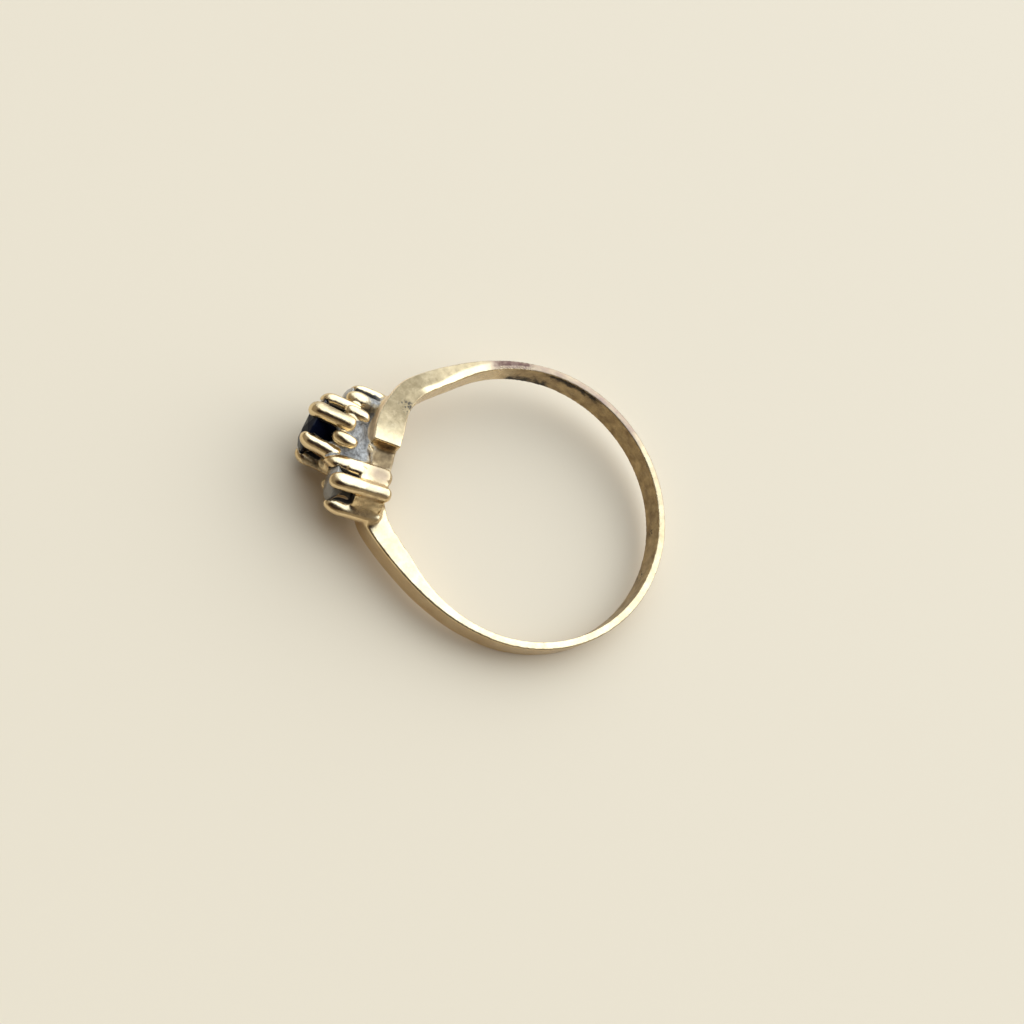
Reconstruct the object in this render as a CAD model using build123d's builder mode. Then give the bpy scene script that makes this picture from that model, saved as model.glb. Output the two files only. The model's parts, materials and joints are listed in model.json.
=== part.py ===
from build123d import *
from math import cos, radians, sin, sqrt, tan
import os

os.makedirs("parts", exist_ok=True)

# A worn gold crossover ring with three claw set stones. Lengths are millimetres and angles degrees.
# It is drawn in its own frame, with the finger along Z and the head out along X, and is laid on its
# side on the XY plane at the end, as it rests by itself.

# Band: a flat strip on edge, the same all the way round the back of the finger
finger_bore = 17.0
band_width = 1.75
band_wall = 0.47
edge_bevel = 0.07

# Arms: the band's two ends swell, flare off the finger and pass side by side under the head
arm_start = 80.0
arm_end = 1.5
arm_depth = 2.1
arm_flare = 0.56
arm_bypass = 0.5
arm_bevel = 0.2

# Tongues: each arm ends in a thin tongue that carries the small basket beyond it
tongue_root = 0.7
tongue_length = 2.4
tongue_depth = 1.5
tongue_width = 0.86
tongue_clear = 0.15

# Middle basket and its stone, heights taken along its own axis from its foot
centre_rise = 3.0
centre_lean_across = -9.5
centre_lean_side = -4.0
centre_claws = 6
centre_turn = 69.0
centre_reach = 1.82
centre_claw_height = 2.6
centre_claw_thick = 0.8
centre_cup_low = -1.3
centre_cup_top = 0.7
centre_cup_foot = 2.9
centre_cup_rim = 3.4
lobe_reach = 1.95
lobe_low = -0.5
lobe_height = 1.35
lobe_thick = 0.72
centre_stone_size = 3.5
centre_girdle_height = 2.12
centre_back_hole = 1.9
centre_back_floor = -0.6

# Small baskets and their stones
side_rise = 0.15
upper_lift = 0.25
lower_along = 2.86
upper_along = 2.36
side_across = 0.9
lower_lean = 1.6
upper_lean = -5.7
lower_turn = -14.0
upper_turn = 5.0
side_reach = 1.19
side_claw_height = 3.45
side_claw_thick = 0.8
side_cup_low = 0.2
side_cup_top = 1.75
side_cup_size = 2.2
side_stone_size = 2.2
side_girdle_height = 3.18
side_back_hole = 1.1
side_back_floor = -0.5

# Cut of the stones, the same for all three: angles are measured from the girdle
table_share = 0.6
girdle_thick = 0.06
crown_angle = 34.0
break_angle = 42.0
star_angle = 20.0
pavilion_angle = 41.0
lower_angle = 42.5
stone_gap = 0.04

# Weight in grams a cubic centimetre, for the point over which the ring balances
gold_density = 11.2
stone_density = 4.0

# Rows of an arm, by angle from the head: how far the inside stands off the finger as a share of the
# flare, how deep the outside stands as a share of the depth, and the sideways shift and the outer bevel
# as shares of their full values. Where the flare is under nought the bore cuts the inside true.
# angle, flare, depth, bypass, bevel
arm_rows = (
    (70.0, -0.36, 0.26, 0.00, 0.00),
    (60.0, -0.36, 0.32, 0.00, 0.05),
    (50.0, -0.30, 0.43, 0.00, 0.12),
    (42.0, 0.05, 0.57, 0.05, 0.25),
    (34.0, 0.54, 0.76, 0.18, 0.55),
    (25.0, 1.00, 0.99, 0.44, 0.90),
    (16.0, 0.90, 1.03, 0.76, 1.00),
    (8.0, 0.42, 1.01, 0.98, 1.00),
    (arm_end, 0.27, 0.93, 0.88, 1.00),
)

# Rows of a claw from foot to tip: shares of its height, reach and thickness, and its lean over the stone
claw_shoulder = 0.13
# height, reach, thickness, lean
claw_rows = (
    (0.00, 0.97, 0.50, 0.0),
    (0.05, 0.99, 0.87, 0.0),
    (claw_shoulder, 1.00, 1.00, 0.0),
    (0.62, 0.99, 1.08, 3.0),
    (0.82, 0.96, 1.12, 18.0),
    (0.94, 0.87, 0.98, 38.0),
    (1.00, 0.79, 0.60, 55.0),
)

# Rows of a lobe of the middle basket's lower tier, in the same columns
lobe_rows = (
    (0.00, 0.95, 0.45, 0.0),
    (0.16, 0.99, 0.88, 0.0),
    (0.50, 1.00, 1.00, 0.0),
    (0.84, 0.97, 0.88, 10.0),
    (1.00, 0.93, 0.45, 20.0),
)

# Worn claws differ in height, in order round each basket from the one nearest its turn
centre_claw_shares = (0.88, 0.92, 0.92, 0.87, 0.91, 1.00)
upper_claw_shares = (1.00, 0.90, 0.95, 1.00)
lower_claw_shares = (1.00, 1.00, 1.00, 0.95)

bore_radius = finger_bore / 2
half_width = band_width / 2


def bevelled(inner, outer, shift, inner_bevel, outer_bevel):
    """Outline of the band or an arm where a plane through the finger's axis cuts it."""
    low, high = shift - half_width, shift + half_width
    return Polygon(
        (inner, low + inner_bevel),
        (inner + inner_bevel, low),
        (outer - outer_bevel, low),
        (outer, low + outer_bevel),
        (outer, high - outer_bevel),
        (outer - outer_bevel, high),
        (inner + inner_bevel, high),
        (inner, high - inner_bevel),
        align=None,
    )


def round_plane(angle, side):
    """Plane through the finger's axis at an angle from the head, X outwards and Y along the finger."""
    x, y = cos(radians(angle)), -side * sin(radians(angle))
    return Plane(origin=(0, 0, 0), x_dir=(x, y, 0), z_dir=(y, -x, 0))


def arm_section(angle, side, inner, outer, shift, outer_bevel):
    """One section of the band or an arm, on its own plane."""
    with BuildSketch(round_plane(angle, side)) as section:
        bevelled(inner, outer, shift, edge_bevel, outer_bevel)
    return section.sketch


def arm(side):
    """An arm, lofted from the band to its end under the head. Side is 1 for the near one, -1 for the other."""
    sections = [arm_section(arm_start, side, bore_radius, bore_radius + band_wall, 0, edge_bevel)]
    for angle, flare, depth, bypass, bevel in arm_rows:
        inner = bore_radius + flare * arm_flare
        outer = bore_radius + depth * arm_depth
        outer_bevel = edge_bevel + bevel * (arm_bevel - edge_bevel)
        sections.append(arm_section(angle, side, inner, outer, side * bypass * arm_bypass, outer_bevel))
    loft(sections)


def tongue(side):
    """The thin tongue that runs on out of an arm's end to the small basket beyond it."""
    with BuildSketch(Plane.ZX.offset(-side * tongue_root)) as section:
        with Locations((0, bore_radius + tongue_clear + tongue_depth / 2)):
            Rectangle(tongue_width, tongue_depth)
    extrude(section.sketch, amount=side * (tongue_root + tongue_length))


def disc(plane, size):
    """A round section on a plane."""
    with BuildSketch(plane) as section:
        Circle(size / 2)
    return section.sketch


def fingers(setting, rows, turn, reach, low, height, thick, shares):
    """Claws or lobes round a basket, each a loft through circles that lean in over the stone."""
    for index, share in enumerate(shares):
        spoke = setting * Location((0, 0, low), (0, 0, turn + 360 * index / len(shares)))
        loft([
            disc(spoke * Location((out * reach, 0, up * share * height), (0, -lean, 0)), size * thick)
            for up, out, size, lean in rows
        ])


def cup(setting, low, top, foot, rim):
    """The solid foot of a basket, between its claws."""
    loft([disc(setting.offset(low), foot), disc(setting.offset(top), rim)])


def crown_height(size):
    """Height of the table above the girdle's upper edge."""
    return (1 - table_share) * size / 2 * tan(radians(crown_angle))


def seat(setting, size, girdle, hole, floor):
    """Cuts the stone's seat with its gap out of the claws, and the hollow below it down to its floor."""
    radius = size / 2 + stone_gap
    low, high = girdle - girdle_thick / 2 - stone_gap, girdle + girdle_thick / 2 + stone_gap
    depth = size / 2 * tan(radians(lower_angle))
    meridian = Plane(setting.origin, x_dir=setting.x_dir, z_dir=-setting.y_dir)
    with BuildSketch(meridian) as profile:
        Polygon(
            (0, low - depth),
            (radius, low),
            (radius, high),
            (radius - crown_height(size) / tan(radians(break_angle)), high + crown_height(size)),
            (0, high + crown_height(size)),
            align=None,
        )
    revolve(profile.sketch, axis=Axis(setting.origin, setting.z_dir), mode=Mode.SUBTRACT)
    top = girdle - depth / 2
    extrude(disc(setting.offset(top), hole), amount=floor - top, mode=Mode.SUBTRACT)


def facets(setting, count, turn, radius, height, slope):
    """Cuts a ring of flat facets, each through a radius and height and sloping down outwards."""
    for index in range(count):
        spoke = setting * Location((0, 0, height), (0, 0, turn + 360 * index / count))
        split(bisect_by=Plane(spoke * Location((radius, 0, 0), (0, slope, 0))), keep=Keep.BOTTOM)


def brilliant(setting, size, girdle):
    """A round stone: a sixteen sided rough, cut with eight mains, eight stars and sixteen halves."""
    radius, edge = size / 2, size / 2 * cos(radians(180 / 16))
    low, high = girdle - girdle_thick / 2, girdle + girdle_thick / 2
    table = high + crown_height(size)
    bottom = low - size / 2
    with BuildSketch(setting.offset(bottom)) as rough:
        RegularPolygon(radius, 16)
    extrude(rough.sketch, amount=table - bottom)
    facets(setting, 8, 0, radius, high, crown_angle)
    facets(setting, 16, 180 / 16, edge, high, break_angle)
    facets(setting, 8, 180 / 8, table_share * radius * cos(radians(180 / 8)), table, star_angle)
    facets(setting, 8, 0, radius, low, 180 - pavilion_angle)
    facets(setting, 16, 180 / 16, edge, low, 180 - lower_angle)


def balance(loads):
    """Centre of mass of pieces that are given with their densities."""
    weight = sum(piece.volume * density for piece, density in loads)
    return sum((piece.center(CenterOf.MASS) * (piece.volume * density / weight) for piece, density in loads),
               Vector())


def floor_under(centre):
    """The surface that the ring lies on: it touches the shoulder of the upper basket's low claw, and the
    band's edge on the far side of the centre of mass."""
    spoke = upper_setting * Location((0, 0, 0), (0, 0, upper_turn + 180))
    claw = spoke * Location((side_reach + side_claw_thick / 2, 0, claw_shoulder * side_claw_height))
    claw = claw.position
    across = Vector(centre.X - claw.X, centre.Y - claw.Y, 0).normalized()
    edge_radius = bore_radius + band_wall - edge_bevel
    nearest = across.dot(claw)
    reach = sqrt(nearest ** 2 - claw.X ** 2 - claw.Y ** 2 + edge_radius ** 2) - nearest
    edge = Vector(claw.X + reach * across.X, claw.Y + reach * across.Y, -half_width)
    along_edge = Vector(-edge.Y, edge.X, 0)
    return Plane(origin=edge, x_dir=(1, 0, 0), z_dir=(edge - claw).cross(along_edge))


# Where each basket stands: X runs along the finger, Z out of the head along the basket's axis
centre_setting = Plane(
    origin=(bore_radius + centre_rise, 0, 0),
    x_dir=(0, 0, 1),
    z_dir=(1, tan(radians(centre_lean_across)), tan(radians(centre_lean_side))),
)
lower_setting = Plane(
    origin=(bore_radius + side_rise, lower_along, side_across),
    x_dir=(0, 0, 1),
    z_dir=(1, tan(radians(lower_lean)), 0),
)
upper_setting = Plane(
    origin=(bore_radius + side_rise + upper_lift, -upper_along, -side_across),
    x_dir=(0, 0, 1),
    z_dir=(1, tan(radians(upper_lean)), 0),
)

with BuildPart() as ring_body:
    # The plain band, and the two arms that it grows into
    band = arm_section(arm_start, -1, bore_radius, bore_radius + band_wall, 0, edge_bevel)
    revolve(band, axis=Axis.Z, revolution_arc=360 - 2 * arm_start)
    for side in (1, -1):
        arm(side)
        tongue(side)
    Cylinder(bore_radius, 2 * band_width, mode=Mode.SUBTRACT)

    # The middle basket: a solid foot, the lower tier of lobes and the claws
    cup(centre_setting, centre_cup_low, centre_cup_top, centre_cup_foot, centre_cup_rim)
    fingers(centre_setting, lobe_rows, centre_turn + 180 / centre_claws, lobe_reach, lobe_low,
            lobe_height, lobe_thick, [1] * centre_claws)
    fingers(centre_setting, claw_rows, centre_turn, centre_reach, 0,
            centre_claw_height, centre_claw_thick, centre_claw_shares)

    # The two small baskets
    for setting, turn, shares in (
        (lower_setting, lower_turn, lower_claw_shares),
        (upper_setting, upper_turn, upper_claw_shares),
    ):
        cup(setting, side_cup_low, side_cup_top, side_cup_size, side_cup_size)
        fingers(setting, claw_rows, turn, side_reach, 0, side_claw_height, side_claw_thick, shares)

    # Seats for the stones. The small baskets are open to the finger, the middle one stops over the arms
    seat(centre_setting, centre_stone_size, centre_girdle_height, centre_back_hole, centre_back_floor)
    seat(lower_setting, side_stone_size, side_girdle_height, side_back_hole, side_back_floor)
    seat(upper_setting, side_stone_size, side_girdle_height, side_back_hole, side_back_floor)

with BuildPart() as centre_stone:
    brilliant(centre_setting, centre_stone_size, centre_girdle_height)

with BuildPart() as lower_stone:
    brilliant(lower_setting, side_stone_size, side_girdle_height)

with BuildPart() as upper_stone:
    brilliant(upper_setting, side_stone_size, side_girdle_height)

# Laid on the floor as it rests, with the origin under the middle of its box
pieces = (ring_body.part, centre_stone.part, lower_stone.part, upper_stone.part)
stones = pieces[1:]
centre = balance([(ring_body.part, gold_density)] + [(stone, stone_density) for stone in stones])
laid = floor_under(centre).location.inverse()
for piece in pieces:
    piece.move(laid)
box = Compound(pieces).bounding_box()
stand = Location((-box.center().X, -box.center().Y, -box.min.Z))
for piece in pieces:
    piece.move(stand)

ring_body.part.label = "ring_body"
centre_stone.part.label = "centre_stone"
lower_stone.part.label = "lower_stone"
upper_stone.part.label = "upper_stone"

export_step(ring_body.part, "parts/ring_body.step")
export_step(centre_stone.part, "parts/centre_stone.step")
export_step(lower_stone.part, "parts/lower_stone.step")
export_step(upper_stone.part, "parts/upper_stone.step")
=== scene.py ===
# %% [markdown]
# # A worn gold crossover ring, lying on its side
#
# A slim gold ring with a dark stone in a six clawed basket and a small pale stone in a four clawed basket
# on each side of it. Gold is almost a mirror, so most of what makes it look like gold is its soft, slightly
# uneven cast form and what it reflects. This lesson therefore spends its effort on three things: one soft
# body in which claws, cups and arms melt into each other as solder does, old dirt that lies in the hollows
# with painted shade in the deepest of them, and a light that has both a bright and a dark side for the metal
# to reflect.
#
# The first step loads the measured model. Its solids give every place and size, so a new piece goes exactly
# where the solid is.

# %% Load the measured model
import json
import bmesh
import bpy
import numpy as np
from mathutils import Matrix, Vector

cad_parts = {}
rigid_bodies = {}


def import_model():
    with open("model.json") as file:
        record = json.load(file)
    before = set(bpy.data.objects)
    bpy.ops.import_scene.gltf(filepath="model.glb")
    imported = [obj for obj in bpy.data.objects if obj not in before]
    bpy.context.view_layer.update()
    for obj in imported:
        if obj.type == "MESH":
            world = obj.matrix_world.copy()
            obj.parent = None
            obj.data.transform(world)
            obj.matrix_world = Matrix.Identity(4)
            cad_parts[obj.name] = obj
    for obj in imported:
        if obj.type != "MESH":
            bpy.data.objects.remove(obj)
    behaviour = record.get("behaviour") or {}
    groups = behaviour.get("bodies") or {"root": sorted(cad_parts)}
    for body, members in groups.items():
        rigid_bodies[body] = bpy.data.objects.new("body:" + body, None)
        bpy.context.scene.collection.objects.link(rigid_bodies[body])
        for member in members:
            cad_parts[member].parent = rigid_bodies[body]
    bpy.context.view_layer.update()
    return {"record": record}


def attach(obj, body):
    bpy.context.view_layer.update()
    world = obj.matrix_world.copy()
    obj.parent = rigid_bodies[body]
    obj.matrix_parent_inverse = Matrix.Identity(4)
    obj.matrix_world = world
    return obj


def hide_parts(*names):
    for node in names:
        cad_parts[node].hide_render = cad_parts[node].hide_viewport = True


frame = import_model()
mm = 0.001

# %% [markdown]
# ## The ring's own frame
#
# The ring leans a little as it lies, because the claws on one side hold the head off the floor. It is far
# easier to think in the ring's own frame: X out through the head, Y across it, Z along the finger. The
# record states the finger hole as a bore with a centre, an axis and a radius, and that is all that is needed
# to build this frame, so nothing is measured by hand.

# %% The ring's own frame, from its finger hole
hole = next(m for m in frame["record"]["mounts"] if m["name"] == "finger_hole")
ring_centre = np.array(hole["pos_m"])
along_finger = np.array(hole["axis"]) / np.linalg.norm(hole["axis"])
through_head = np.cross([0.0, 1.0, 0.0], along_finger)
through_head /= np.linalg.norm(through_head)
ring_axes = np.array([through_head, np.cross(along_finger, through_head), along_finger])
bore = hole["dims"]["r_mm"]
ring_lean = float(np.degrees(np.arccos(along_finger[2])))
print("finger hole radius", bore, "mm, leaning", round(ring_lean, 1), "degrees")


def lay(points):
    """Points of the ring's own frame in mm, as metres in the model's frame: centre + x X + y Y + z Z."""
    return ring_centre + np.asarray(points) * mm @ ring_axes


# %% [markdown]
# ## The camera
#
# The photograph looks down on the ring from about 60 degrees, with a short telephoto's flat perspective. The
# camera was found by fitting the two round edges of the band, near and far, and their widths. Its place and
# its turn are given in the ring's own frame, where the head is at three o'clock.

# %% Camera at the photograph's angle
camera_place = (21.05, 27.22, 63.82)
camera_right = (-0.9075, -0.1992, 0.3699)
camera_back = (0.2806, 0.3680, 0.8865)
picture_side = 1024
focal_pixels = 1200

camera_data = bpy.data.cameras.new("camera")
camera_data.sensor_width = 36
camera_data.lens = focal_pixels / picture_side * camera_data.sensor_width
camera_data.clip_start = 0.001
camera = bpy.data.objects.new("camera", camera_data)
bpy.context.scene.collection.objects.link(camera)
bpy.context.scene.camera = camera
to_right, to_camera = (np.array(v) @ ring_axes for v in (camera_right, camera_back))
to_camera /= np.linalg.norm(to_camera)
to_right -= to_camera * (to_right @ to_camera)
to_right /= np.linalg.norm(to_right)
camera_turn = Matrix(np.stack([to_right, np.cross(to_camera, to_right), to_camera], axis=1).tolist()).to_4x4()
camera.matrix_world = Matrix.Translation(Vector(lay(camera_place))) @ camera_turn
print("camera stands", round(float(np.degrees(np.arcsin(to_camera[2]))), 1), "degrees above the floor")

# %% [markdown]
# ## Floor and light
#
# The floor is a plain warm sheet. The light is a soft studio: a pale sky that is brighter on one side than on
# the other, one soft window up behind the ring's back, and a darker patch low in front. Polished metal shows
# nothing but its surroundings, so the dark patch matters as much as the window: without it the claws would be
# white all over. The sky is worked out from its direction alone, so every view sees the same studio.

# %% Floor
# half its side, in mm
floor_half = 600.0
floor_mesh = bpy.data.meshes.new("floor")
corners = np.array([(-1, -1), (1, -1), (1, 1), (-1, 1)]) * floor_half * mm
floor_mesh.from_pydata([(x, y, 0.0) for x, y in corners.tolist()], [], [(0, 1, 2, 3)])
floor = bpy.data.objects.new("floor", floor_mesh)
bpy.context.scene.collection.objects.link(floor)
print("floor of", 2 * floor_half, "mm a side")


# %% Helpers for node materials
def new_material(name):
    """An empty node material with one Principled shader on its output, returned with its node tree."""
    material = bpy.data.materials.new(name)
    material.use_nodes = True
    tree = material.node_tree
    shader = next(n for n in tree.nodes if n.type == "BSDF_PRINCIPLED")
    return material, tree, shader


def node(tree, kind, inputs=(), **settings):
    """A node with settings on itself, and values or links on its inputs, given as (name, value) pairs."""
    made = tree.nodes.new(kind)
    for name, value in settings.items():
        setattr(made, name, value)
    for name, value in inputs:
        if isinstance(value, bpy.types.NodeSocket):
            tree.links.new(value, made.inputs[name])
        else:
            made.inputs[name].default_value = value
    return made


# %% Floor material
paper, tree, shader = new_material("warm_paper")
shader.inputs["Roughness"].default_value = 0.8
shader.inputs["Base Color"].default_value = (0.70, 0.578, 0.415, 1)
floor_mesh.materials.append(paper)
print("floor material:", paper.name)

# %% Studio sky: soft discs of light and shade on a graded sky
bpy.context.scene.view_settings.view_transform = "Standard"
sky_low = (0.33, 0.285, 0.21, 1)
sky_high = (0.33, 0.31, 0.29, 1)
sky_darkest = (0.02, 0.02, 0.02)
# where it stands, half angle of its full part and of its faded edge, colour, strength: a blue window behind
# the ring's back, a dim reflector low beside it and a dark patch in front
studio = (
    ((-0.45, -0.65, 0.61), 47, 70, (0.76, 0.92, 1.12), 2.25),
    ((-0.60, -0.60, 0.20), 30, 60, (1.00, 0.96, 0.90), 0.5),
    ((0.22, 0.53, 0.80), 18, 38, (1.00, 1.00, 1.00), -0.30),
)


def add_sky(studio):
    """World colour by direction: a grade from low to high sky, plus each disc times a smooth step of the
    cosine of the angle between the direction and the disc's middle, and never under the darkest sky."""
    world = bpy.data.worlds.new("studio")
    world.use_nodes = True
    bpy.context.scene.world = world
    tree = world.node_tree
    towards = tree.nodes.new("ShaderNodeTexCoord").outputs["Generated"]
    height = node(tree, "ShaderNodeSeparateXYZ", [("Vector", towards)]).outputs["Z"]
    grade = node(tree, "ShaderNodeValToRGB", [("Fac", height)])
    grade.color_ramp.elements[0].color = sky_low
    grade.color_ramp.elements[1].color = sky_high
    total = grade.outputs["Color"]
    for direction, full, faded, colour, strength in studio:
        unit = Vector(direction).normalized()
        near = node(tree, "ShaderNodeVectorMath", [(0, towards), (1, unit)], operation="DOT_PRODUCT")
        edge, rim = (float(np.cos(np.radians(angle))) for angle in (faded, full))
        disc = node(tree, "ShaderNodeMapRange", [("Value", near.outputs["Value"]), ("From Min", edge),
                    ("From Max", rim), ("To Max", strength)], interpolation_type="SMOOTHSTEP")
        tinted = node(tree, "ShaderNodeVectorMath", [(0, colour), ("Scale", disc.outputs["Result"])],
                      operation="SCALE")
        total = node(tree, "ShaderNodeVectorMath", [(0, total), (1, tinted.outputs["Vector"])],
                     operation="ADD").outputs["Vector"]
    lit = node(tree, "ShaderNodeVectorMath", [(0, total), (1, sky_darkest)], operation="MAXIMUM")
    tree.links.new(lit.outputs["Vector"], tree.nodes["Background"].inputs["Color"])
    print("studio sky with", len(studio), "soft discs")


add_sky(studio)

# %% [markdown]
# ## One soft body
#
# The real ring was built from bits of gold and soldered, then worn for years, so there are no crisp joints
# anywhere. Modelling each joint by hand would be slow. Instead every bit is made as its own closed skin,
# worked out from a short table, and a voxel remesh melts them into one. All of it is done in millimetres in
# the ring's own frame, because Blender's voxels may not be finer than 0.0001 units.

# %% Smooth rows and closed skins
def flow(rows, count):
    """Smooth curve through the rows of a table. Between rows b and c, with a before and d after, at a share
    f of the way: b + f/2 (c - a) + f^2/2 (2a - 5b + 4c - d) + f^3/2 (3b - 3c + d - a)."""
    rows = np.asarray(rows, float)
    along = np.linspace(0, len(rows) - 1, count)
    start = np.minimum(along.astype(int), len(rows) - 2)
    f = (along - start)[:, None]
    ends = np.vstack([2 * rows[0] - rows[1], rows, 2 * rows[-1] - rows[-2]])
    a, b, c, d = (ends[start + k] for k in range(4))
    return b + f / 2 * (c - a) + f ** 2 / 2 * (2 * a - 5 * b + 4 * c - d) + f ** 3 / 2 * (3 * (b - c) + d - a)


def skin(rings):
    """Closed skin through rings of points: two triangles between each pair of neighbours on two rings, and a
    fan from the middle of each end ring. The rings turn anticlockwise seen against the way they advance."""
    count, around = rings.shape[:2]
    points = np.vstack([rings.reshape(-1, 3), rings[0].mean(axis=0), rings[-1].mean(axis=0)])
    here = np.arange(count * around).reshape(count, around)
    beside = np.roll(here, -1, axis=1)
    a, b, c, d = (grid.ravel() for grid in (here[:-1], beside[:-1], beside[1:], here[1:]))
    first, last = np.full(around, count * around), np.full(around, count * around + 1)
    return points, np.vstack([
        np.stack([a, b, c], axis=1),
        np.stack([a, c, d], axis=1),
        np.stack([first, beside[0], here[0]], axis=1),
        np.stack([last, here[-1], beside[-1]], axis=1),
    ])


# %% [markdown]
# ## The band and its two arms
#
# The band is a thin flat strip on edge. Going round to the head its two ends swell outwards, flare off the
# finger and pass side by side. So the whole shank is one profile, a bevelled box, carried round the finger:
# a table gives its inside, its outside, its sideways shift and its bevels by the angle from the head.

# %% The shank's table, from an arm's end to the plain band
band_width = 1.75
# angle from the head, inside and outside beyond the bore, sideways shift, worn slope inside, bevel outside
near_rows = (
    (1.5, 0.15, 1.84, 0.44, 0.05, 0.08),
    (8, 0.235, 2.04, 0.49, 0.05, 0.10),
    (16, 0.504, 2.08, 0.38, 0.06, 0.10),
    (25, 0.55, 1.99, 0.22, 0.07, 0.10),
    (34, 0.25, 1.53, 0.09, 0.18, 0.08),
    (42, 0.04, 1.15, 0.025, 0.31, 0.06),
    (50, 0.00, 0.88, 0.00, 0.32, 0.05),
    (60, 0.00, 0.66, 0.00, 0.12, 0.03),
    (70, 0.00, 0.54, 0.00, 0.03, 0.02),
    (80, 0.00, 0.47, 0.00, 0.02, 0.02),
)
inner_bevel = 0.03
# the worn slope drops by this share of its width, and the far arm has only a bevel in its place
slope_share = 0.28
far_rows = tuple((angle, low, high, -shift, inner_bevel, outer)
                 for angle, low, high, shift, _, outer in near_rows)
print("arm rows:", len(near_rows), "deepest", max(row[2] for row in near_rows), "mm beyond the bore")


# %% The shank, from one arm's end round the finger to the other's
def shank_rings(steps):
    """Rings of the shank. At polar angle -t for the near arm, t for the far one, and all the way round
    between: a bevelled box of the band's width from r1 to r2, shifted along the finger, its points at
    (r cos t, r sin t, z)."""
    near, far = (flow(rows, steps) for rows in (near_rows, far_rows))
    behind = np.linspace(near[-1], far[-1], steps)[1:-1]
    behind[:, 0] = np.linspace(near[-1, 0], 360 - far[-1, 0], steps)[1:-1]
    far[:, 0] = 360 - far[:, 0]
    turn, low, high, shift, slope, bevel = np.vstack([near, behind, far[::-1]]).T
    low, high = bore + np.maximum(low, 0), bore + high
    bottom, top = shift - band_width / 2, shift + band_width / 2
    r = np.stack([low, low + inner_bevel, high - bevel, high, high, high - bevel, low + slope, low], axis=1)
    z = np.stack([bottom + inner_bevel, bottom, bottom, bottom + bevel, top - bevel, top, top,
                  top - slope_share * slope], axis=1)
    polar = -np.radians(turn)[:, None]
    return np.stack([r * np.cos(polar), r * np.sin(polar), z], axis=2)


gold_skins = [skin(shank_rings(90))]
print("shank:", len(gold_skins[0][1]), "triangles")


# %% Tongues: each arm's end runs on as a thin tongue to the small basket beyond it
tongue_clear = 0.15


def tongue(side, start, end, radial, across, corner):
    """A bar with its corners cut, square to the finger: rings at each y, 8 points each, at (x + u, y, v)."""
    a, b = radial / 2, across / 2
    u = np.array([a, a, a - corner, corner - a, -a, -a, corner - a, a - corner])
    v = np.array([corner - b, b - corner, b, b, b - corner, corner - b, -b, -b])
    y = np.linspace(start, end, 8)[:, None] * side
    return skin(np.stack(np.broadcast_arrays(bore + tongue_clear + a + u, y, -side * v), axis=2))


gold_skins += [tongue(side, -0.7, 2.4, 1.5, 0.86, 0.12) for side in (1, -1)]
print("shank and tongues:", sum(len(faces) for _, faces in gold_skins), "triangles")

# %% [markdown]
# ## Baskets
#
# Each stone stands in a basket: a solid cup, and claws that climb its sides and lean in over the stone. The
# middle basket also has short lobes between its claws. A claw is a pile of discs along a leaning path, which
# a smooth curve through a few rows gives. No two real claws are alike, so each gets its own height and
# thickness, and a little unevenness from a fixed seed.


# %% Where the baskets stand
def basket_at(out, along, across, lean, side_lean=0.0):
    """A basket's foot and its three axes: Z leans from straight out by two angles, X runs along the finger
    as far as Z lets it, and Y is Z x X."""
    z = np.array([1.0, np.tan(np.radians(lean)), np.tan(np.radians(side_lean))])
    z /= np.linalg.norm(z)
    x = np.array([0.0, 0.0, 1.0]) - z * z[2]
    x /= np.linalg.norm(x)
    return np.array([bore + out, along, across]), np.array([x, np.cross(z, x), z])


centre_basket = basket_at(3.0, 0.0, 0.0, -9.5, -4.0)
lower_basket = basket_at(0.15, 2.86, 0.9, 1.6)
upper_basket = basket_at(0.40, -2.36, -0.9, -5.7)
print("baskets' feet in mm:",
      *(foot.round(2).tolist() for foot, _ in (centre_basket, lower_basket, upper_basket)))

# %% Shapes of a claw and of a lobe
# shares of its height, reach and thickness, and its lean in degrees
claw_rows = (
    (0.00, 0.97, 0.50, 0),
    (0.05, 0.99, 0.87, 0),
    (0.13, 1.00, 1.00, 0),
    (0.62, 0.99, 1.09, 3),
    (0.82, 0.96, 1.16, 18),
    (0.94, 0.87, 1.04, 38),
    (1.00, 0.79, 0.66, 55),
)
lobe_rows = (
    (0.00, 0.95, 0.45, 0),
    (0.16, 0.99, 0.88, 0),
    (0.50, 1.00, 1.00, 0),
    (0.84, 0.97, 0.88, 10),
    (1.00, 0.93, 0.45, 20),
)


def stand(basket, points):
    """Points of a basket's own frame as points of the ring's frame: foot + x X + y Y + z Z."""
    foot, axes = basket
    return foot + points @ axes


def claw(basket, rows, turn, reach, low, height, thick, seed, steps=24, around=22):
    """Pile of discs. A disc's middle stands at reach along a spoke and at its height, its plane leans in, and
    its radius is half the thickness times 1 + a small sum of waves in angle and height."""
    up, out, size, lean = flow(rows, steps).T[..., None]
    wave = np.random.default_rng(seed).uniform(0, 2 * np.pi, 4)
    angle = np.linspace(0, 2 * np.pi, around, endpoint=False)
    uneven = 1 + 0.035 * np.sin(2 * angle + wave[0]) + 0.03 * np.sin(3 * angle + 5 * up + wave[1])
    uneven = uneven + 0.03 * np.sin(7 * up + wave[2]) * np.sin(angle + wave[3])
    radius = thick / 2 * size * uneven
    lean = np.radians(lean)
    spoke = out * reach + radius * np.cos(angle) * np.cos(lean)
    side = radius * np.sin(angle)
    rise = low + up * height + radius * np.cos(angle) * np.sin(lean)
    a = np.radians(turn)
    points = np.stack([spoke * np.cos(a) - side * np.sin(a), spoke * np.sin(a) + side * np.cos(a), rise],
                      axis=2)
    return skin(stand(basket, points))


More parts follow.
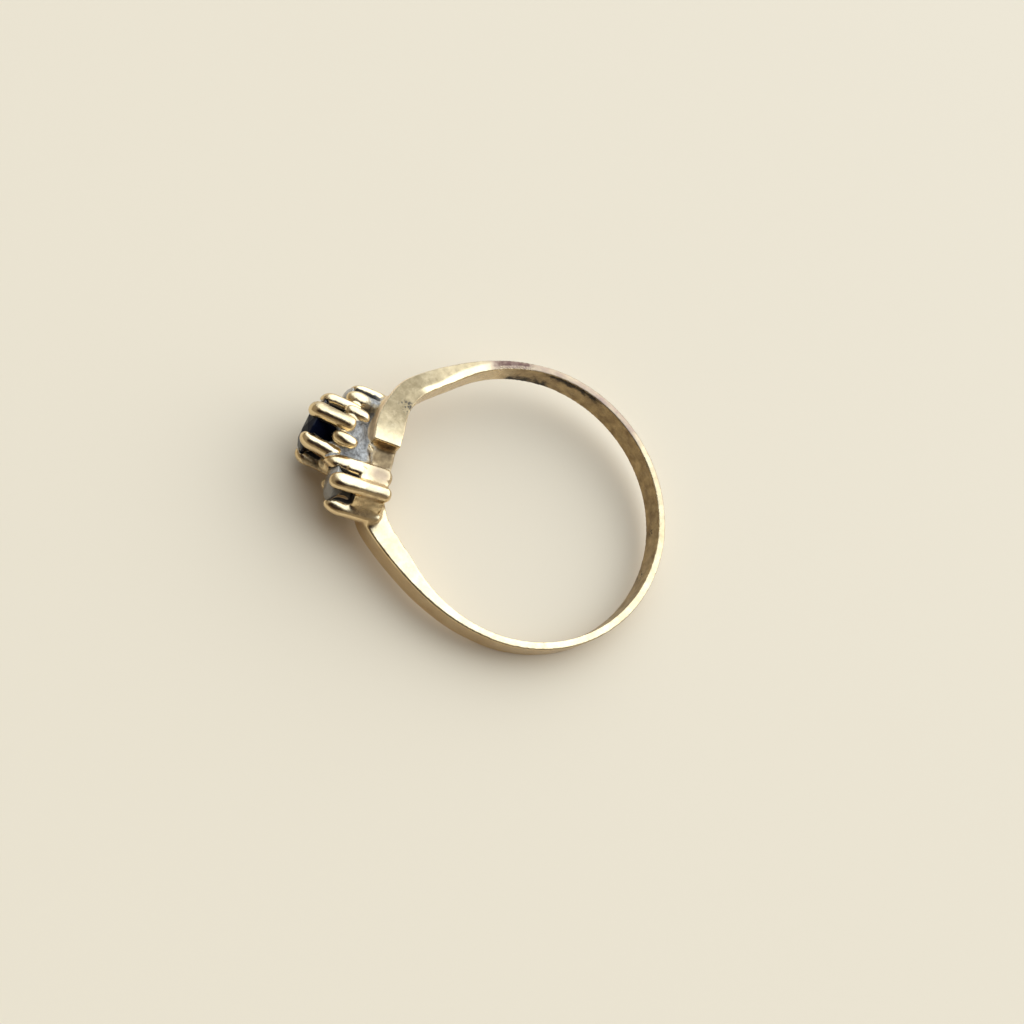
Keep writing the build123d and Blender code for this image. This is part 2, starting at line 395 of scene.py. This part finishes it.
def turned(basket, profile, around=48):
    """Solid of revolution about a basket's axis, from rows of height and radius: each row is a circle of
    points (r cos a, r sin a, height)."""
    height, radius = np.asarray(profile, float).T[..., None]
    angle = np.linspace(0, 2 * np.pi, around, endpoint=False)
    points = np.broadcast_arrays(radius * np.cos(angle), radius * np.sin(angle), height)
    return skin(stand(basket, np.stack(points, axis=2)))


# %% Claws, lobes and cups of the three baskets
# turn, reach, height and thickness of each claw
centre_claws = (
    (69, 1.82, 2.29, 0.85),
    (9, 1.82, 2.60, 0.92),
    (-51, 1.82, 2.32, 0.86),
    (-111, 1.82, 2.24, 0.78),
    (129, 1.82, 2.40, 0.82),
    (189, 1.82, 2.40, 0.82),
)
lower_claws = (
    (76, 1.08, 3.72, 1.12),
    (-12, 1.21, 3.36, 0.88),
    (-101, 1.26, 3.14, 0.88),
    (168, 1.19, 3.40, 0.84),
)
upper_claws = (
    (93, 1.19, 3.08, 0.82),
    (3, 1.19, 3.24, 0.84),
    (-85, 1.19, 3.40, 0.82),
    (185, 1.19, 3.28, 0.82),
)
# height and radius of each row of a cup
centre_cup = ((-1.5, 0.6), (-0.8, 0.75), (-0.4, 1.4), (0.1, 1.66), (0.7, 1.7))
lower_cup = ((0.2, 1.12), (1.9, 1.15))
upper_cup = ((0.2, 1.1), (1.75, 1.1))
lobe_turn, lobe_reach, lobe_low, lobe_height, lobe_thick = 99, 1.95, -0.55, 1.5, 0.82

baskets = (
    (centre_basket, centre_claws, centre_cup),
    (lower_basket, lower_claws, lower_cup),
    (upper_basket, upper_claws, upper_cup),
)
for basket, claws, _ in baskets:
    gold_skins += [claw(basket, claw_rows, turn, reach, 0, height, thick, seed)
                   for seed, (turn, reach, height, thick) in enumerate(claws)]
gold_skins += [claw(centre_basket, lobe_rows, lobe_turn + 60 * k, lobe_reach, lobe_low, lobe_height,
                    lobe_thick, 40 + k) for k in range(6)]
gold_skins += [turned(basket, cup) for basket, _, cup in baskets]
print("bits of gold:", len(gold_skins))


# %% Lumps of solder between the arms and the cups
def web(start, end, thick):
    """Lump of solder: a round bar between two places with ball ends. Its radius at a distance d beyond
    either place is the root of r^2 - d^2."""
    start, end = np.array(start, float), np.array(end, float)
    length = np.linalg.norm(end - start)
    w = (end - start) / length
    u = np.cross(w, [1.0, 0.0, 0.0])
    u /= np.linalg.norm(u)
    turn = np.linspace(0.02, np.pi - 0.02, 20)[:, None]
    r = thick / 2
    along = np.where(turn < np.pi / 2, -r * np.cos(turn), length - r * np.cos(turn))
    angle = np.linspace(0, 2 * np.pi, 24, endpoint=False)
    round_part = np.cos(angle)[:, None] * u + np.sin(angle)[:, None] * np.cross(w, u)
    return skin(start + along[..., None] * w + r * np.sin(turn)[..., None] * round_part)


# where it starts and ends, and its thickness
webs = (
    ((10.7, 1.0, 0.6), (10.1, 2.1, 0.6), 1.3),
    ((10.6, -0.9, -0.5), (10.2, -1.9, -0.7), 1.3),
    ((10.5, 2.1, 1.62), (11.15, 2.1, 1.58), 0.75),
)
gold_skins += [web(*row) for row in webs]
print("with lumps of solder:", len(gold_skins), "bits")


# %% [markdown]
# ## Melting the bits together
#
# A voxel remesh joins the skins into one, with little steps where they cross. Two smoothings then do what
# solder and wear do. Solder fills inner corners, so the first moves a point only where its neighbours'
# middle lies outside the surface. Wear rounds everything a little, so the second moves every point.

# %% From arrays to a mesh
def mesh_object(name, points, faces):
    """A mesh object from whole arrays of points and triangles."""
    mesh = bpy.data.meshes.new(name)
    mesh.vertices.add(len(points))
    mesh.vertices.foreach_set("co", np.asarray(points, np.float32).ravel())
    mesh.loops.add(faces.size)
    mesh.loops.foreach_set("vertex_index", faces.astype(np.int32).ravel())
    mesh.polygons.add(len(faces))
    mesh.polygons.foreach_set("loop_start", np.arange(0, faces.size, 3, dtype=np.int32))
    mesh.update(calc_edges=True)
    made = bpy.data.objects.new(name, mesh)
    bpy.context.scene.collection.objects.link(made)
    return made


def joined(skins):
    """All skins as one array of points and one of triangles, each skin's numbers raised by those before."""
    raised = np.cumsum([0] + [len(points) for points, _ in skins])
    return (np.vstack([points for points, _ in skins]),
            np.vstack([faces + start for (_, faces), start in zip(skins, raised)]))


def applied(made):
    """A mesh with its object's modifiers applied. The object is removed."""
    result = bpy.data.meshes.new_from_object(made.evaluated_get(bpy.context.evaluated_depsgraph_get()))
    bpy.data.objects.remove(made)
    return result


# %% Melt
voxel = 0.075
lump = mesh_object("gold_bits", *joined(gold_skins))
remesh = lump.modifiers.new("melt", "REMESH")
remesh.mode = "VOXEL"
remesh.voxel_size = voxel
melted = applied(lump)
print("melted body:", len(melted.vertices), "points,", len(melted.polygons), "faces")


# %% Points, normals and neighbours as arrays
def points_of(mesh):
    """A mesh's points as an array."""
    flat = np.empty(len(mesh.vertices) * 3, np.float32)
    mesh.vertices.foreach_get("co", flat)
    return flat.reshape(-1, 3).astype(float)


def normals_of(mesh):
    """A mesh's point normals as an array."""
    flat = np.empty(len(mesh.vertices) * 3, np.float32)
    mesh.vertices.foreach_get("normal", flat)
    return flat.reshape(-1, 3).astype(float)


def neighbour_mean(mesh):
    """A function that gives, for values at the points, the mean over each point's neighbours by edge."""
    flat = np.empty(len(mesh.edges) * 2, np.int32)
    mesh.edges.foreach_get("vertices", flat)
    a, b = flat.reshape(-1, 2).T
    count = len(mesh.vertices)
    degree = np.bincount(a, minlength=count) + np.bincount(b, minlength=count)

    def mean(values):
        columns = [np.bincount(a, column[b], count) + np.bincount(b, column[a], count) for column in values.T]
        return np.stack(columns, axis=1) / degree[:, None]

    return mean


def set_points(mesh, points):
    """Moves a mesh's points."""
    mesh.vertices.foreach_set("co", np.asarray(points, np.float32).ravel())
    mesh.update()


# %% Solder and wear
def solder(mesh, rounds, share, renew=5):
    """Each round moves a point by a share of the way to its neighbours' mean, but only where that mean lies
    outside the surface, so inner corners fill with a fillet and outer corners stay. The normals are worked
    out again every few rounds."""
    mean = neighbour_mean(mesh)
    points = points_of(mesh)
    for done in range(rounds):
        if done % renew == 0:
            set_points(mesh, points)
            normals = normals_of(mesh)
        pull = mean(points) - points
        outwards = (pull * normals).sum(axis=1, keepdims=True)
        points = points + share * np.where(outwards > 0, pull, 0)
    set_points(mesh, points)


def wear(mesh, rounds):
    """Each round moves every point half way to its neighbours' mean, and then a little more than that back
    out again, which takes off the voxels' steps and leaves the size."""
    mean = neighbour_mean(mesh)
    points = points_of(mesh)
    for _ in range(rounds):
        for share in (0.5, -0.52):
            points = points + share * (mean(points) - points)
    set_points(mesh, points)


def waves(points, shortest, longest, seed, count=30):
    """Gentle random unevenness, about -1 to 1: the mean of so many plane waves of random direction and
    length, times the root of half their number."""
    random = np.random.default_rng(seed)
    way = random.normal(size=(count, 3))
    way *= (2 * np.pi / random.uniform(shortest, longest, count) / np.linalg.norm(way, axis=1))[:, None]
    return np.sin(points @ way.T + random.uniform(0, 2 * np.pi, count)).mean(axis=1) * np.sqrt(count / 2)


def step(values, low, high):
    """Smooth step from 0 at low to 1 at high: 3 s^2 - 2 s^3 of the share of the way."""
    share = np.clip((values - low) / (high - low), 0, 1)
    return share * share * (3 - 2 * share)


# %% Solder, swell and wear the melted body
# two claws of neighbouring baskets only lean against each other here
bare_joint = (12.2, 1.62, 1.35)
solder_rounds, solder_share = 80, 0.6
# unevenness on the band and how much more there is in the head, in mm
band_swell, more_in_head = 0.004, 0.016

wear(melted, 3)
from_joint = np.linalg.norm(points_of(melted) - bare_joint, axis=1)
solder(melted, solder_rounds, solder_share * step(from_joint, 0.45, 0.9)[:, None])
soldered = points_of(melted)
swell = band_swell + more_in_head * step(soldered[:, 0], 9.5, 11)
set_points(melted, soldered + normals_of(melted) * (swell * waves(soldered, 0.8, 2.6, 3))[:, None])
wear(melted, 1)
print("uneven by about", round(float(swell.max()), 3), "mm in the head and",
      round(float(swell.min()), 3), "mm on the band")

# %% [markdown]
# ## Seats for the stones
#
# A setter cuts each seat with a burr, a small steel cutter in the stone's own profile. The same is done here:
# a burr is turned from a few heights and radii, a hair larger than the stone, and taken away from the gold.

# %% Burrs in the stones' profile
stone_gap = 0.04
girdle_thick = 0.06
table_share = 0.6
crown_angle, pavilion_angle, break_angle = 34.0, 42.5, 42.0
# how far a burr stands out over its stone's table
way_in = 1.5
# size of the stone, height of its girdle, size of the drill and height of the drill's floor
seats = (
    (centre_basket, 3.5, 2.12, 1.9, -0.1),
    (lower_basket, 2.2, 3.18, 1.1, -0.5),
    (upper_basket, 2.2, 3.18, 1.1, -0.5),
)


def burr(basket, size, girdle, hole, floor):
    """Burr for one stone: a narrow drill below, a cone under the girdle, the girdle and a cone over it. A
    cone's height is its width times the tangent of its angle."""
    radius = size / 2 + stone_gap
    low, high = girdle - girdle_thick / 2 - stone_gap, girdle + girdle_thick / 2 + stone_gap
    depth = size / 2 * np.tan(np.radians(pavilion_angle))
    crown = (1 - table_share) * size / 2 * np.tan(np.radians(crown_angle))
    meet = low - depth * (1 - hole / 2 / radius)
    top = radius - crown / np.tan(np.radians(break_angle))
    profile = [(floor, hole / 2), (meet, hole / 2), (low, radius), (high, radius), (high + crown, top),
               (high + crown + way_in, top)]
    return turned(basket, profile, 96)


burrs = mesh_object("burrs", *joined([burr(*row) for row in seats]))
print("burrs:", len(burrs.data.polygons), "triangles")


# %% Cut the seats
def drop_fins(mesh):
    """Takes out points with only two neighbours. The cut leaves them along its edges, and two faces that
    share one can lie back to back as a tiny fin."""
    work = bmesh.new()
    work.from_mesh(mesh)
    while fins := [point for point in work.verts if len(point.link_edges) == 2]:
        bmesh.ops.dissolve_verts(work, verts=fins)
    work.to_mesh(mesh)
    work.free()


body = bpy.data.objects.new("gold_body", melted)
bpy.context.scene.collection.objects.link(body)
cut = body.modifiers.new("seats", "BOOLEAN")
cut.operation = "DIFFERENCE"
cut.solver = "MANIFOLD"
cut.object = burrs
gold_mesh = applied(body)
bpy.data.objects.remove(burrs)
drop_fins(gold_mesh)
print("cut body:", len(gold_mesh.vertices), "points,", len(gold_mesh.polygons), "faces")

# %% [markdown]
# ## Where the dirt, the stains and the painted shade are
#
# Old dirt lies where a cloth can't reach, in the hollows, and the deepest hollows also get near black painted
# shade for the shade that falls there. How hollow a place is can be measured: smooth a copy of the surface
# hard, and see how far each point sinks or rises. Stains are laid on by their place round the ring, and so
# are a painted dark line on the band's outer corner and a painted reflection on the near arm's outer wall.
# All of them are kept as attributes on the mesh, for the material to read.

# %% Hollows
def hollow(mesh, rounds):
    """How far a point lies below its surroundings, in mm: along the normal, the distance to the same point
    after so many rounds of smoothing."""
    mean = neighbour_mean(mesh)
    points = points_of(mesh)
    smooth = points
    for _ in range(rounds):
        smooth = smooth + 0.9 * (mean(smooth) - smooth)
    return ((smooth - points) * normals_of(mesh)).sum(axis=1)


def keep(mesh, name, values):
    """Stores one number for each point under a name, for the material to read."""
    mesh.attributes.new(name, "FLOAT", "POINT").data.foreach_set("value", np.asarray(values, np.float32))
    print(name, "covers", round(float(np.mean(values)), 3), "of the points")


fine, broad = hollow(gold_mesh, 14), hollow(gold_mesh, 160)
print("hollows, fine and broad, at the 90th and 98th hundredth:",
      *(np.round(np.percentile(values, (90, 98)), 3) for values in (fine, broad)))

# %% Places round the ring
surface = points_of(gold_mesh)
facing = normals_of(gold_mesh)
x, y, z = surface.T
from_axis = np.hypot(x, y)
bearing = np.degrees(np.arctan2(y, x))
outwards = (facing[:, 0] * x + facing[:, 1] * y) / from_axis
head = step(x, 9.6, 10.6)
print("share of the points in the head:", round(float(head.mean()), 2))


def arc(start, end, fade):
    """1 between two bearings round the ring, fading to 0 over so many degrees beyond each."""
    turn = (bearing - start) % 360
    span = (end - start) % 360
    beyond = np.where(turn <= span, 0, np.minimum(turn - span, 360 - turn))
    return 1 - step(beyond, 0, fade)


def spot(at, size):
    """1 at a place in mm, fading to 0 at the distance of its size."""
    return 1 - step(np.linalg.norm(surface - at, axis=1), 0.2 * size, size)


def inside(basket, reach, low, high):
    """1 near a basket's axis, fading to 0 at the reach, between two heights."""
    foot, axes = basket
    across, rise = (surface - foot) @ axes[:2].T, (surface - foot) @ axes[2]
    return (1 - step(np.hypot(*across.T), reach - 0.12, reach)) * step(rise, low - 0.1, low) * (rise < high)


def strongest(*masks):
    """The highest of several masks at each point."""
    return np.maximum.reduce(masks)


# %% Dirt and painted shade in the head: grey residue in the hollows and webs, and near black painted shade mixed with dirt in the deepest hollows and round the stones' seats
arm_wall = step(outwards, 0.4, 0.7) * (1 - step(from_axis, 10.6, 10.72)) * (1 - step(y, -0.3, 0.0))
arm_wall *= z > -0.8
in_head = head * (1 - arm_wall)
keep(gold_mesh, "residue", in_head * strongest(
    step(broad, 0.02, 0.16),
    step(fine, 0.004, 0.03),
    inside(centre_basket, 1.93, -1.2, 0.9) * step(from_axis, 10.3, 10.5),
    0.9 * inside(upper_basket, 1.32, 0.3, 1.9),
    spot((10.7, 0.9, 1.1), 1.1),
    0.9 * spot((10.7, -2.85, 0.5), 0.8),
))
# painted shade, mixed with dirt: near black in the deepest hollows, inside the baskets round the stones and
# under the middle stone, where shade falls
keep(gold_mesh, "deep", in_head * strongest(
    step(broad, 0.14, 0.38),
    inside(centre_basket, 1.72, 0.6, 2.0),
    inside(lower_basket, 1.14, 1.9, 3.0),
    inside(upper_basket, 1.26, 1.5, 3.0),
    0.6 * spot((12.8, 1.75, -0.2), 1.5) * step(facing[:, 2], 0.0, 0.4),
    0.6 * spot((10.9, -2.2, 0.6), 0.7),
    0.8 * spot((11.0, -3.2, 0.3), 0.7),
))

# %% Brown on the near tongue and the lower cup, and a painted reflection on the near arm's outer wall: pale tan, hardly metal, standing in for the lit floor it would reflect
below_face = 1 - step(z, 1.12, 1.28)
keep(gold_mesh, "copper", strongest(
    spot((9.3, 0.35, 0.4), 1.35) * below_face,
    0.9 * spot((10.15, 0.45, 0.9), 0.55) * below_face,
    0.55 * spot((9.65, 3.6, 1.7), 1.1),
))
# painted reflection: the near arm's outer wall gets a pale tan, hardly metal, in place of the lit floor that
# it reflects
keep(gold_mesh, "tan", arm_wall * step(bearing, -34, -20))

# %% Tarnish on the near face, strongest on the shoulder and gone where it is worn bright, and a painted dark line on the band's outer corner for the reflection of an edge in shade
near_face = step(facing[:, 2], 0.6, 0.9) * (from_axis < 10.7)
worn_strip = arc(-58, -31, 6) * (1 - step(from_axis - bore - 0.5 * step(bearing, -38, -24), 0.40, 0.55))
# painted shade: a dark line along the band's outer corner, between the near face and the outer wall, standing
# in for a dark reflection
painted_dark_rim = step(outwards, 0.25, 0.55) * step(facing[:, 2], 0.25, 0.55) * (from_axis < 9.6)
# bearing round the ring, and how tarnished the near face is there
tarnish_rows = np.array((
    (-180, 0.42), (-130, 0.42), (-75, 0.55), (-62, 0.6), (-50, 0.6), (-40, 0.7), (-33, 0.9), (-27, 1.0),
    (-18, 1.0), (-14, 1.0), (-10, 0.85), (-7, 0.65), (-5, 0.25), (-3.5, 0.05), (0, 0.0), (20, 0.25),
    (40, 0.15), (60, 0.05), (120, 0.15), (180, 0.38),
))
keep(gold_mesh, "tarnish", strongest(
    near_face * np.interp(bearing, *tarnish_rows.T) * (1 - worn_strip),
    0.7 * painted_dark_rim,
    0.8 * spot((12.9, -0.45, 1.9), 1.7) * step(-facing[:, 1], 0.0, 0.5),
    0.7 * spot((11.4, -1.5, 1.5), 0.6),
    0.75 * spot((9.5, 1.95, 1.65), 1.1),
))

# %% Pink where it was heated, and the old repair with its dark stain
keep(gold_mesh, "pink", strongest(
    near_face * arc(-128, -84, 14),
    near_face * arc(-80, -62, 6),
    near_face * 0.4 * arc(-165, -135, 10) * step(from_axis, 8.7, 8.9),
    0.7 * spot((9.5, 1.95, 1.5), 1.0),
))
keep(gold_mesh, "scar", near_face * arc(-76, -63, 3) * step(-from_axis, -8.82, -8.70))
keep(gold_mesh, "stain", near_face * arc(-75, -65, 5) * step(from_axis, 8.68, 8.78))

# %% Inside the finger hole: a dull film, burns beside the repair, and a few specks of dirt
inwards = step(-outwards, 0.6, 0.9) * (from_axis < bore + 0.9)
keep(gold_mesh, "film", inwards * (1 - 0.9 * arc(-62, 62, 12)))
keep(gold_mesh, "burnt", inwards * strongest(
    arc(-108, -88, 8) * step(z, -0.1, 0.9),
    0.85 * arc(-86, -73, 8) * step(-z, -0.5, 0.6),
    0.5 * arc(-160, -108, 12) * step(z, 0.6, 0.9),
))
keep(gold_mesh, "specks", strongest(
    spot((8.9, -2.9, 1.3), 0.7),
    0.8 * spot((-8.43, -1.05, -0.1), 0.5),
    0.85 * spot((-8.27, 1.97, -0.4), 0.8),
    0.12 * inwards,
))

# %% Stand the body in the model's frame
set_points(gold_mesh, lay(surface))
gold_mesh.shade_smooth()
gold_body = bpy.data.objects.new("gold_body", gold_mesh)
bpy.context.scene.collection.objects.link(gold_body)
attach(gold_body, "root")
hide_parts("ring_body")
print("gold body:", len(gold_mesh.vertices), "points,", len(gold_mesh.polygons), "faces")

# %% [markdown]
# ## Gold
#
# Worn nine carat gold is a metal with a pale yellow reflection, not quite smooth. Its colour is set by the
# base colour, and its look by the roughness, which varies with handling, and by fine scratches. Dirt in the
# hollows is not metal: it is a dull grey brown film that lowers the metallic share. A few layers are painted
# light: near black painted shade in the deepest hollows, a painted dark line on the band's outer corner and a
# painted reflection, pale tan, on the near arm's outer wall.

# %% Words for patterns, each one a few nodes in the material at hand
gold, tree, shader = new_material("worn_gold")
where = node(tree, "ShaderNodeTexCoord").outputs["Object"]


def marks(name):
    """An attribute of the mesh as a node's output."""
    return node(tree, "ShaderNodeAttribute", attribute_name=name).outputs["Fac"]


def noise(size, detail=4.0, roughness=0.55):
    """Noise whose features are about so many millimetres across, spread over nearly all of 0 to 1."""
    cloud = node(tree, "ShaderNodeTexNoise", [("Vector", where), ("Scale", 1 / (size * mm)),
                 ("Detail", detail), ("Roughness", roughness)])
    return fade(cloud.outputs["Fac"], 0.3, 0.7)


def fade(value, low, high, to_low=0.0, to_high=1.0):
    """A value mapped from low..high to to_low..to_high, clamped."""
    return node(tree, "ShaderNodeMapRange", [("Value", value), ("From Min", low), ("From Max", high),
                ("To Min", to_low), ("To Max", to_high)]).outputs["Result"]


def maths(operation, a, b):
    """Two values added, subtracted or multiplied."""
    return node(tree, "ShaderNodeMath", [(0, a), (1, b)], operation=operation).outputs[0]


def mix(factor, a, b):
    """Colour a turning to colour b as the factor goes from 0 to 1."""
    made = node(tree, "ShaderNodeMix", data_type="RGBA")
    colours = [s for s in made.inputs if s.type == "RGBA"]
    for socket, value in ((made.inputs[0], factor), (colours[0], a), (colours[1], b)):
        if isinstance(value, bpy.types.NodeSocket):
            tree.links.new(value, socket)
        else:
            socket.default_value = value
    return next(s for s in made.outputs if s.type == "RGBA")


def ragged(mark, size, low, high, amount):
    """A mark with a torn edge: the mark plus an amount of noise about nought, through a fade. Where there is
    no mark there is none after it."""
    torn = maths("ADD", mark, maths("MULTIPLY", maths("SUBTRACT", noise(size, 6.0, 0.65), 0.5), amount))
    return maths("MULTIPLY", fade(torn, low, high), fade(mark, 0.0, 0.1))


# %% Layers on the gold, from the lowest to the highest
speck_gap = 0.16
grains = node(tree, "ShaderNodeTexVoronoi", [("Vector", where), ("Scale", 1 / (speck_gap * mm))])
dots = fade(maths("SUBTRACT", grains.outputs["Distance"], maths("MULTIPLY", noise(0.4), 0.35)), 0.32, 0.12)
clean_gold = (0.80, 0.64, 0.39, 1)
warm_gold = (0.70, 0.52, 0.29, 1)
# the mark with its torn edge, its colour, how much of it is metal, and its roughness
layers = (
    # tarnish, together with the painted dark line on the band's outer corner
    (ragged(marks("tarnish"), 0.5, 0.0, 1.0, 0.35),
     mix(noise(0.3), (0.185, 0.135, 0.07, 1), (0.275, 0.205, 0.115, 1)), 0.95, 0.36),
    (maths("MULTIPLY", marks("pink"), fade(noise(0.7), 0.0, 1.0, 0.4, 1.0)),
     (0.27, 0.185, 0.14, 1), 1.0, 0.34),
    (ragged(marks("film"), 0.5, 0.0, 1.0, 0.5),
     mix(noise(0.6), (0.21, 0.135, 0.062, 1), (0.52, 0.375, 0.185, 1)), 0.85, 0.38),
    (ragged(marks("copper"), 0.35, 0.1, 0.8, 0.4),
     mix(noise(0.4), (0.115, 0.072, 0.034, 1), (0.26, 0.178, 0.088, 1)), 0.85, 0.38),
    (ragged(marks("residue"), 0.35, 0.2, 0.7, 0.7),
     mix(noise(0.2), (0.16, 0.145, 0.125, 1), (0.48, 0.45, 0.405, 1)), 0.15, 0.6),
    # near black painted shade in the deepest hollows and round the stones, mixed with dirt
    (ragged(marks("deep"), 0.3, 0.2, 0.8, 0.5),
     (0.045, 0.036, 0.028, 1), 0.4, 0.6),
    # pale tan, hardly metal: a painted reflection of the lit floor on the near arm's outer wall
    (marks("tan"),
     mix(noise(0.4), (0.68, 0.47, 0.25, 1), (0.92, 0.68, 0.40, 1)), 0.2, 0.5),
    (ragged(marks("stain"), 0.4, 0.0, 1.2, 1.3),
     (0.12, 0.06, 0.045, 1), 0.7, 0.45),
    (ragged(marks("burnt"), 0.45, 0.3, 0.85, 0.8),
     (0.030, 0.020, 0.011, 1), 0.8, 0.5),
    (maths("MULTIPLY", ragged(marks("specks"), 0.3, 0.1, 0.9, 0.8), dots),
     (0.05, 0.04, 0.03, 1), 0.7, 0.5),
)
colour = mix(noise(1.1), clean_gold, warm_gold)
metal, rough = 1.0, fade(noise(0.8, 6.0), 0.0, 1.0, 0.14, 0.27)
for mask, layer_colour, layer_metal, layer_rough in layers:
    colour = mix(mask, colour, layer_colour)
    metal = node(tree, "ShaderNodeMix", [(0, mask), (2, metal), (3, layer_metal)]).outputs[0]
    rough = node(tree, "ShaderNodeMix", [(0, mask), (2, rough), (3, layer_rough)]).outputs[0]
tree.links.new(colour, shader.inputs["Base Color"])
tree.links.new(metal, shader.inputs["Metallic"])
tree.links.new(rough, shader.inputs["Roughness"])
print("layers on the gold:", len(layers))

# %% Fine bumps: handling marks all over, grit in the hollows and beads of solder on the old repair
handling_high, beads_high, grit_high = 0.006, -0.045, 0.05
bead_size = 0.06
beads = node(tree, "ShaderNodeTexVoronoi", [("Vector", where), ("Scale", 1 / (bead_size * mm))],
             feature="SMOOTH_F1")
beading = maths("MULTIPLY", marks("scar"), beads.outputs["Distance"])
grit = maths("MULTIPLY", marks("residue"), noise(0.12, 3.0))
handling = maths("MULTIPLY", noise(0.3, 6.0, 0.6), handling_high)
relief = maths("ADD", handling, maths("MULTIPLY", beading, beads_high))
relief = maths("ADD", relief, maths("MULTIPLY", grit, grit_high))
bumps = node(tree, "ShaderNodeBump", [("Height", relief), ("Distance", mm), ("Strength", 1.0)])
tree.links.new(bumps.outputs["Normal"], shader.inputs["Normal"])
gold_mesh.materials.clear()
gold_mesh.materials.append(gold)
print("gold material:", len(tree.nodes), "nodes")

# %% [markdown]
# ## Stones
#
# The stones' flat facets are exact in the measured model, so they stay, and only get a finish. The middle one
# is so deep a blue that it is almost black. The small ones are dull grey, as clear stones are when dirt lies
# behind them. Both are made opaque, because nothing is seen through them.

# %% The dark stone's finish
night, tree, shader = new_material("night_blue_stone")
where = node(tree, "ShaderNodeTexCoord").outputs["Object"]
nearly_black = mix(noise(1.4), (0.002, 0.003, 0.008, 1), (0.006, 0.008, 0.020, 1))
tree.links.new(nearly_black, shader.inputs["Base Color"])
shader.inputs["Roughness"].default_value = 0.12
shader.inputs["IOR"].default_value = 1.3
shader.inputs["Specular IOR Level"].default_value = 0.3
print("dark stone:", len(tree.nodes), "nodes")

# %% The small stones' finish
smoke, tree, shader = new_material("grey_stone")
where = node(tree, "ShaderNodeTexCoord").outputs["Object"]
dull_grey = mix(noise(1.1), (0.17, 0.15, 0.125, 1), (0.30, 0.27, 0.225, 1))
tree.links.new(dull_grey, shader.inputs["Base Color"])
shader.inputs["Roughness"].default_value = 0.22
shader.inputs["IOR"].default_value = 1.77
print("small stones:", len(tree.nodes), "nodes")

# %% Finish the stones
for name, finish in (("centre_stone", night), ("lower_stone", smoke), ("upper_stone", smoke)):
    stone = bpy.data.objects[name]
    stone.data.materials.clear()
    stone.data.materials.append(finish)
    print(name, "is finished in", finish.name)
